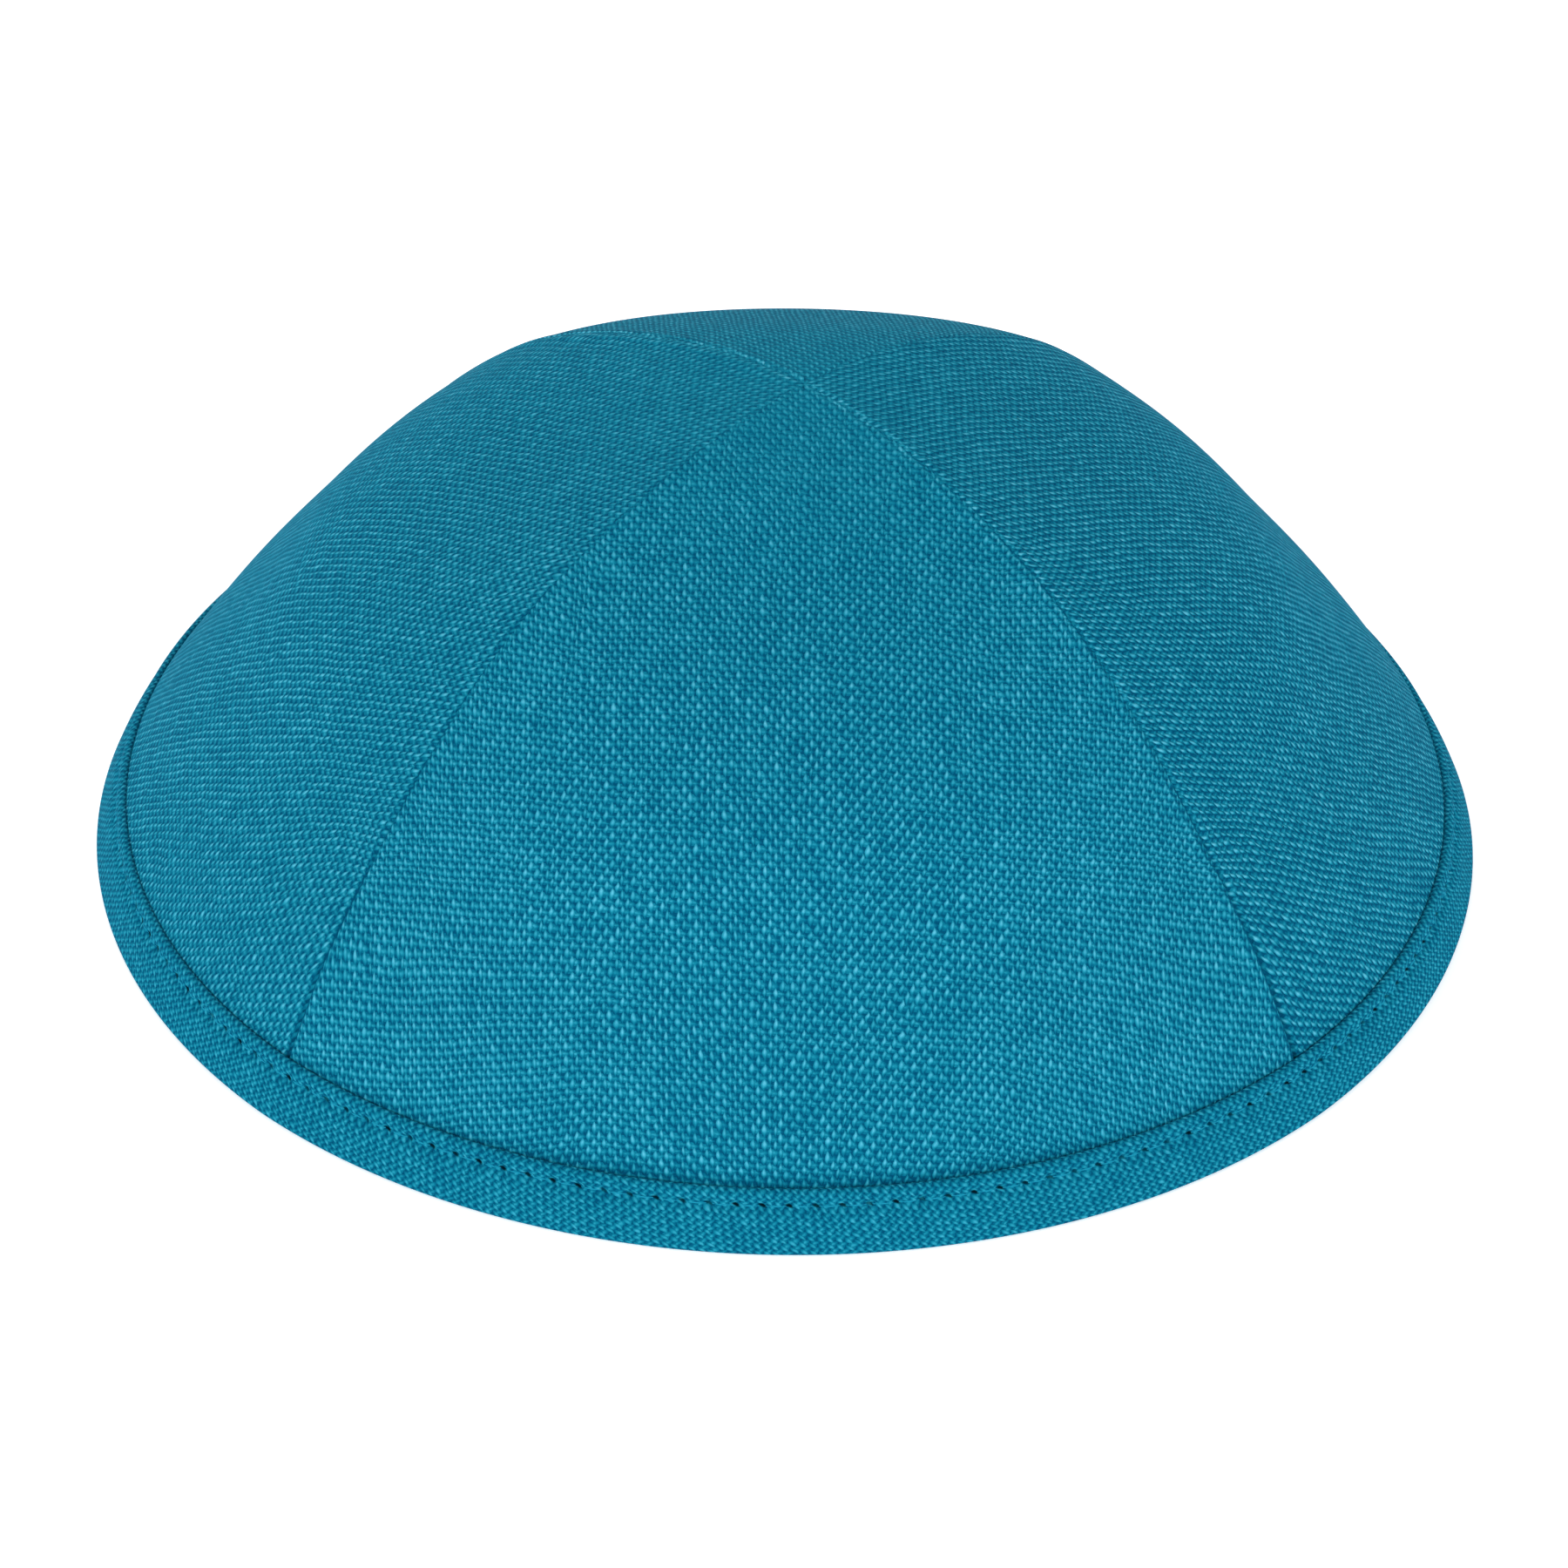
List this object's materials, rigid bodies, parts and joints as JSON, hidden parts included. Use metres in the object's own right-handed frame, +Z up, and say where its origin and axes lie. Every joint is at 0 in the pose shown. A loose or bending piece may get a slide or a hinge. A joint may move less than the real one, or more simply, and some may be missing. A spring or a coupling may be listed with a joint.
{
  "type": "four-panel linen skullcap",
  "caption": "Plain linen skullcap: a shallow open dome of sewn panels with a bound and stitched rim, standing on the rim.",
  "frame": {"origin": "centre of the rim, on the surface that the cap stands on", "axes": "+Z up through the crown; -Y out of the middle of the front panel; +X to its right as seen from the front; the seams run at 45 degrees between X and Y"},
  "size_m": [0.1662, 0.1662, 0.06],
  "materials": {
    "panel_linen": "matt teal plain-weave linen with slubs",
    "binding_linen": "the same linen cut on the bias, pressed and topstitched"
  },
  "bodies": {
    "root": {"panel_front": "panel_linen", "panel_right": "panel_linen", "panel_back": "panel_linen", "panel_left": "panel_linen", "rim_binding": "binding_linen"}
  },
  "joints": []
}
